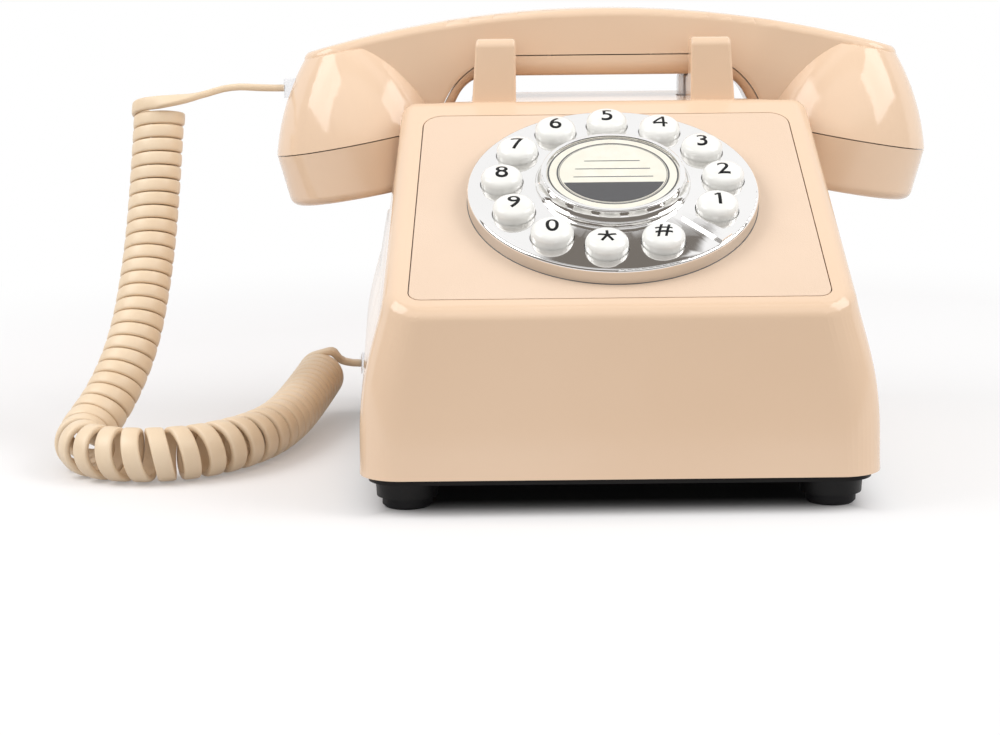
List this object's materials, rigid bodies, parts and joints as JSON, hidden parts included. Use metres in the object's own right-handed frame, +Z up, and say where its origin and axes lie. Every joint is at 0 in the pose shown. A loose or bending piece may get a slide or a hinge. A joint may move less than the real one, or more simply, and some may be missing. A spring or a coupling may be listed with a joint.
{
  "type": "corded landline phone",
  "caption": "Desk telephone with a sloping face, a chrome ring of push buttons round a centre card, a curved handset on cradle horns and a curly cord.",
  "frame": {"origin": "on the surface it stands on, under the middle of the phone's box without its curly cord", "axes": "+X to the right of someone facing the dial, +Y to the back, +Z up; the dial faces -Y"},
  "size_m": [0.2978, 0.188, 0.1478],
  "materials": {
    "housing_gloss": "smooth beige moulding",
    "panel_matte": "fine matte texture",
    "base_black": "black moulding",
    "foot_rubber": "matte black",
    "dial_chrome": "bright plated",
    "button_white": "smooth ivory white",
    "card_print": "printed card",
    "clear_plastic": "clear",
    "cord_plastic": "smooth flexible beige",
    "soft_rubber": "matte grey",
    "circuit_board": "green laminate",
    "steel": "zinc plated",
    "iron_weight": "bare",
    "speaker_black": "black"
  },
  "bodies": {
    "base": {"base_jack": "base_black", "base_plate": "base_black", "base_screws": "steel", "base_weight": "iron_weight", "cord_plug_base": "clear_plastic", "dial_bezel": "dial_chrome", "dial_card": "card_print", "dial_hub": "dial_chrome", "dial_lens": "clear_plastic", "face_panel": "panel_matte", "finger_stop": "dial_chrome", "foot_front_left": "foot_rubber", "foot_front_right": "foot_rubber", "foot_rear_left": "foot_rubber", "foot_rear_right": "foot_rubber", "handset_cord": "cord_plastic", "hook_bracket": "steel", "hook_bracket_screws": "steel", "hook_spring": "steel", "hook_switch": "base_black", "keypad_board": "circuit_board", "keypad_mat": "soft_rubber", "keypad_screws": "steel", "line_jack": "base_black", "main_board": "circuit_board", "main_board_screws": "steel", "ringer_speaker": "speaker_black", "ringer_switch": "base_black", "upper_housing": "housing_gloss"},
    "handset": {"handset_upper_shell": "housing_gloss", "handset_lower_shell": "housing_gloss", "handset_jack": "base_black", "cord_plug_handset": "clear_plastic", "handset_screws": "steel", "handset_weight": "iron_weight", "receiver_gasket": "soft_rubber", "receiver_capsule": "steel", "microphone_boot": "soft_rubber", "microphone_capsule": "steel"},
    "hook": {"hook_plunger": "clear_plastic"},
    "ringer_slider": {"ringer_knob": "base_black"},
    "button_0_key": {"button_0": "button_white"},
    "button_1_key": {"button_1": "button_white"},
    "button_2_key": {"button_2": "button_white"},
    "button_3_key": {"button_3": "button_white"},
    "button_4_key": {"button_4": "button_white"},
    "button_5_key": {"button_5": "button_white"},
    "button_6_key": {"button_6": "button_white"},
    "button_7_key": {"button_7": "button_white"},
    "button_8_key": {"button_8": "button_white"},
    "button_9_key": {"button_9": "button_white"},
    "button_hash_key": {"button_hash": "button_white"},
    "button_star_key": {"button_star": "button_white"}
  },
  "joints": [
    {"name": "handset_lift", "type": "slide", "parent": "base", "child": "handset", "axis": [0, 0, 1], "range_m": [0, 0.1], "deforming": ["handset_cord"]},
    {"name": "hook_rise", "type": "slide", "parent": "base", "child": "hook", "axis": [0, 0, 1], "range_m": [0, 0.005], "deforming": ["hook_spring"]},
    {"name": "ringer_slide", "type": "slide", "parent": "base", "child": "ringer_slider", "axis": [1, 0, 0], "range_m": [0, 0.005]},
    {"name": "button_0_press", "type": "slide", "parent": "base", "child": "button_0_key", "axis": [0, 0.4555, -0.8902], "range_m": [0, 0.002], "stiffness_N_per_m": 500},
    {"name": "button_1_press", "type": "slide", "parent": "base", "child": "button_1_key", "axis": [0, 0.4555, -0.8902], "range_m": [0, 0.002], "stiffness_N_per_m": 500},
    {"name": "button_2_press", "type": "slide", "parent": "base", "child": "button_2_key", "axis": [0, 0.4555, -0.8902], "range_m": [0, 0.002], "stiffness_N_per_m": 500},
    {"name": "button_3_press", "type": "slide", "parent": "base", "child": "button_3_key", "axis": [0, 0.4555, -0.8902], "range_m": [0, 0.002], "stiffness_N_per_m": 500},
    {"name": "button_4_press", "type": "slide", "parent": "base", "child": "button_4_key", "axis": [0, 0.4555, -0.8902], "range_m": [0, 0.002], "stiffness_N_per_m": 500},
    {"name": "button_5_press", "type": "slide", "parent": "base", "child": "button_5_key", "axis": [0, 0.4555, -0.8902], "range_m": [0, 0.002], "stiffness_N_per_m": 500},
    {"name": "button_6_press", "type": "slide", "parent": "base", "child": "button_6_key", "axis": [0, 0.4555, -0.8902], "range_m": [0, 0.002], "stiffness_N_per_m": 500},
    {"name": "button_7_press", "type": "slide", "parent": "base", "child": "button_7_key", "axis": [0, 0.4555, -0.8902], "range_m": [0, 0.002], "stiffness_N_per_m": 500},
    {"name": "button_8_press", "type": "slide", "parent": "base", "child": "button_8_key", "axis": [0, 0.4555, -0.8902], "range_m": [0, 0.002], "stiffness_N_per_m": 500},
    {"name": "button_9_press", "type": "slide", "parent": "base", "child": "button_9_key", "axis": [0, 0.4555, -0.8902], "range_m": [0, 0.002], "stiffness_N_per_m": 500},
    {"name": "button_hash_press", "type": "slide", "parent": "base", "child": "button_hash_key", "axis": [0, 0.4555, -0.8902], "range_m": [0, 0.002], "stiffness_N_per_m": 500},
    {"name": "button_star_press", "type": "slide", "parent": "base", "child": "button_star_key", "axis": [0, 0.4555, -0.8902], "range_m": [0, 0.002], "stiffness_N_per_m": 500}
  ],
  "couplings": [
    {"joint": "hook_rise", "follows": "handset_lift", "ratio": 0.05}
  ]
}
